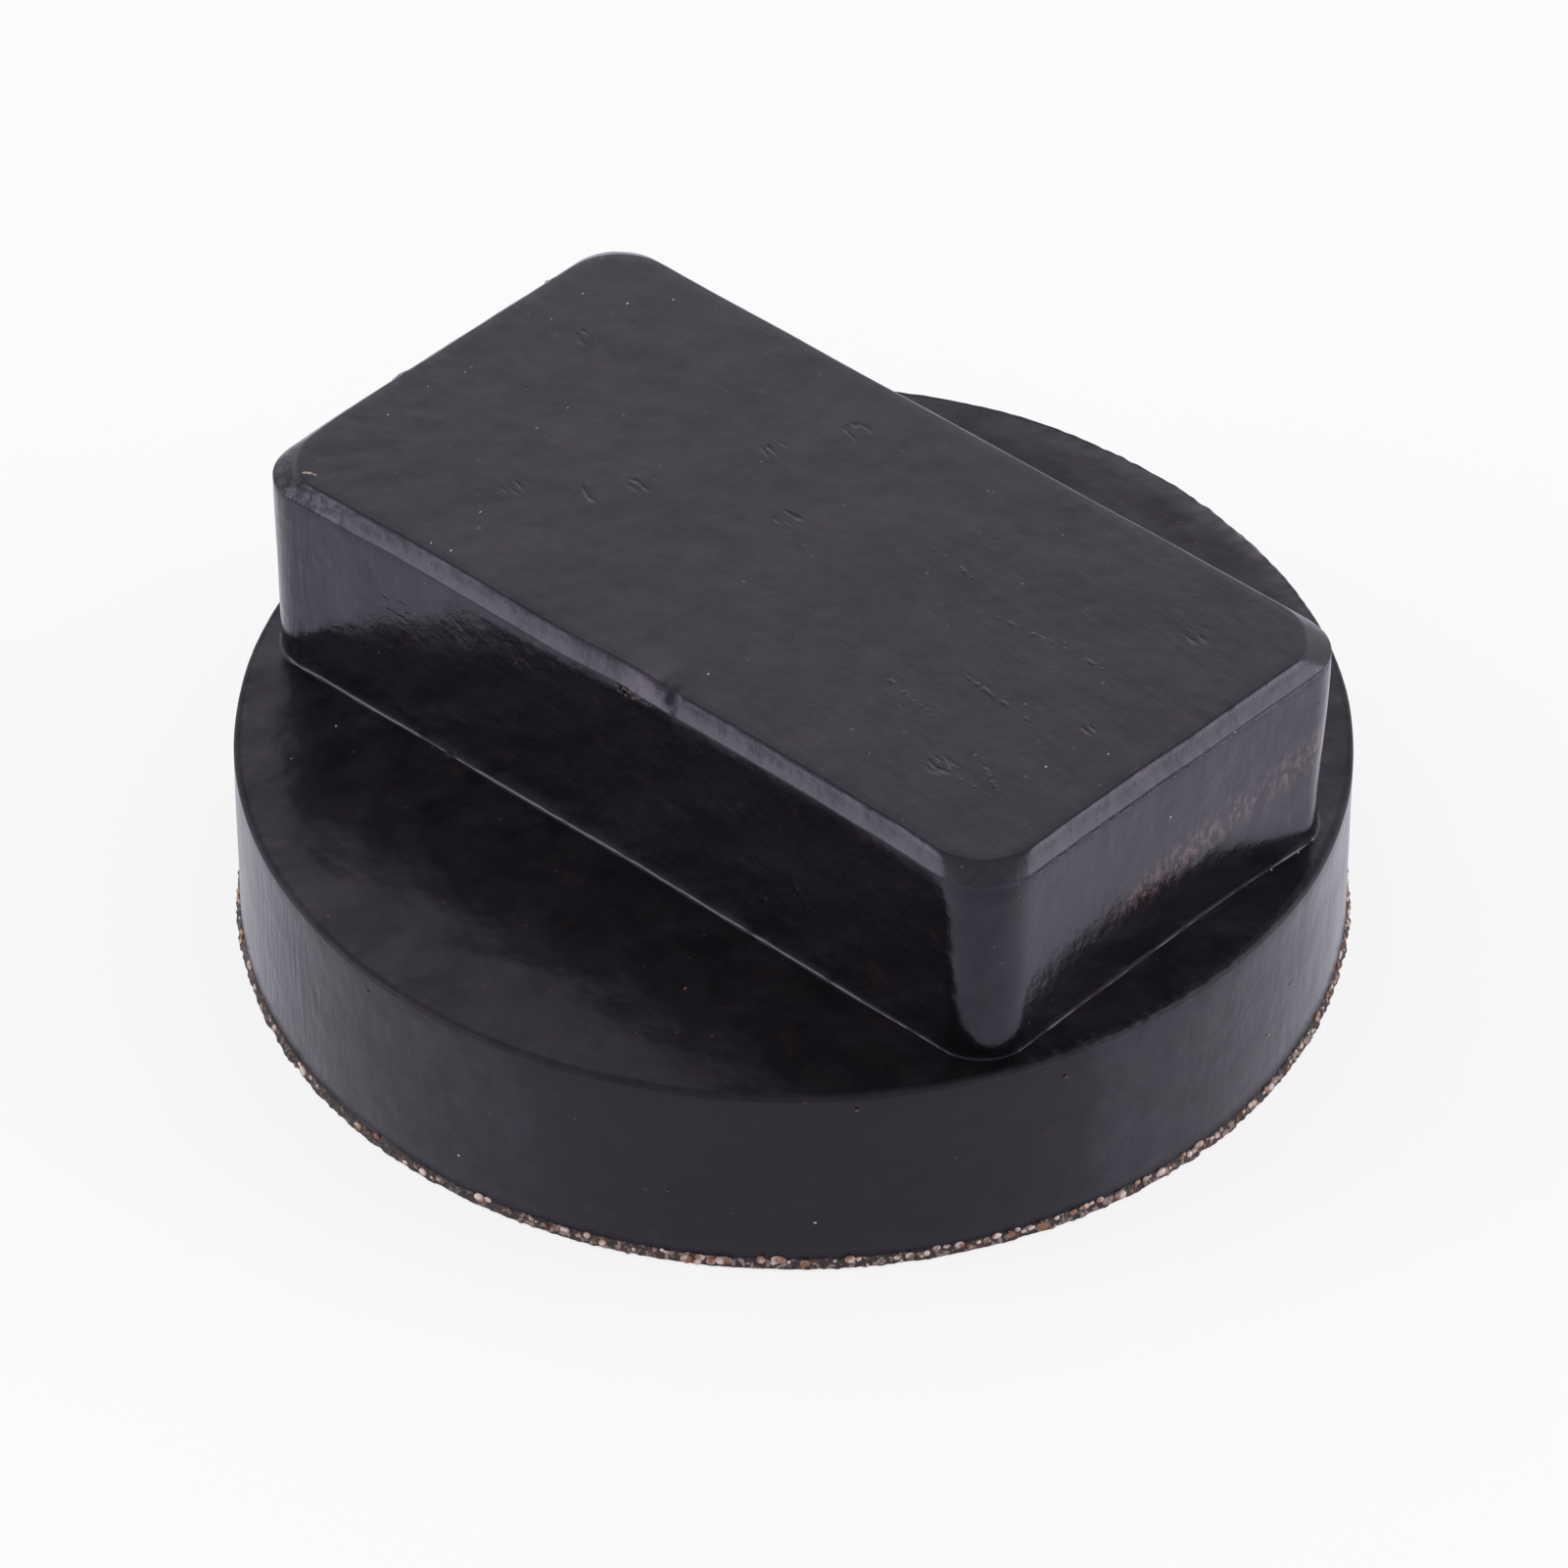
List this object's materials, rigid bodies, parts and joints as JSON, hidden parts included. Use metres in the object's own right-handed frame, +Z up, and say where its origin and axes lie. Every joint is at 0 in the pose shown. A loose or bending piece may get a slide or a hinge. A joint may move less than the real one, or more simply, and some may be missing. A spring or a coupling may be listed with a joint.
{
  "type": "rubber jack pad",
  "caption": "Round moulded rubber pad with a raised bevelled block that seats in a sill jacking point while a trolley jack lifts from below.",
  "frame": {"origin": "centre of the flat round underside", "axes": "+X along the block's long side, +Y across the block, +Z up from the base to the block's top face"},
  "size_m": [0.075, 0.075, 0.0297],
  "materials": {
    "rubber": "semi-gloss moulded black rubber with a trimmed fabric-reinforced lip"
  },
  "bodies": {
    "root": {"jack_pad": "rubber"}
  },
  "joints": []
}
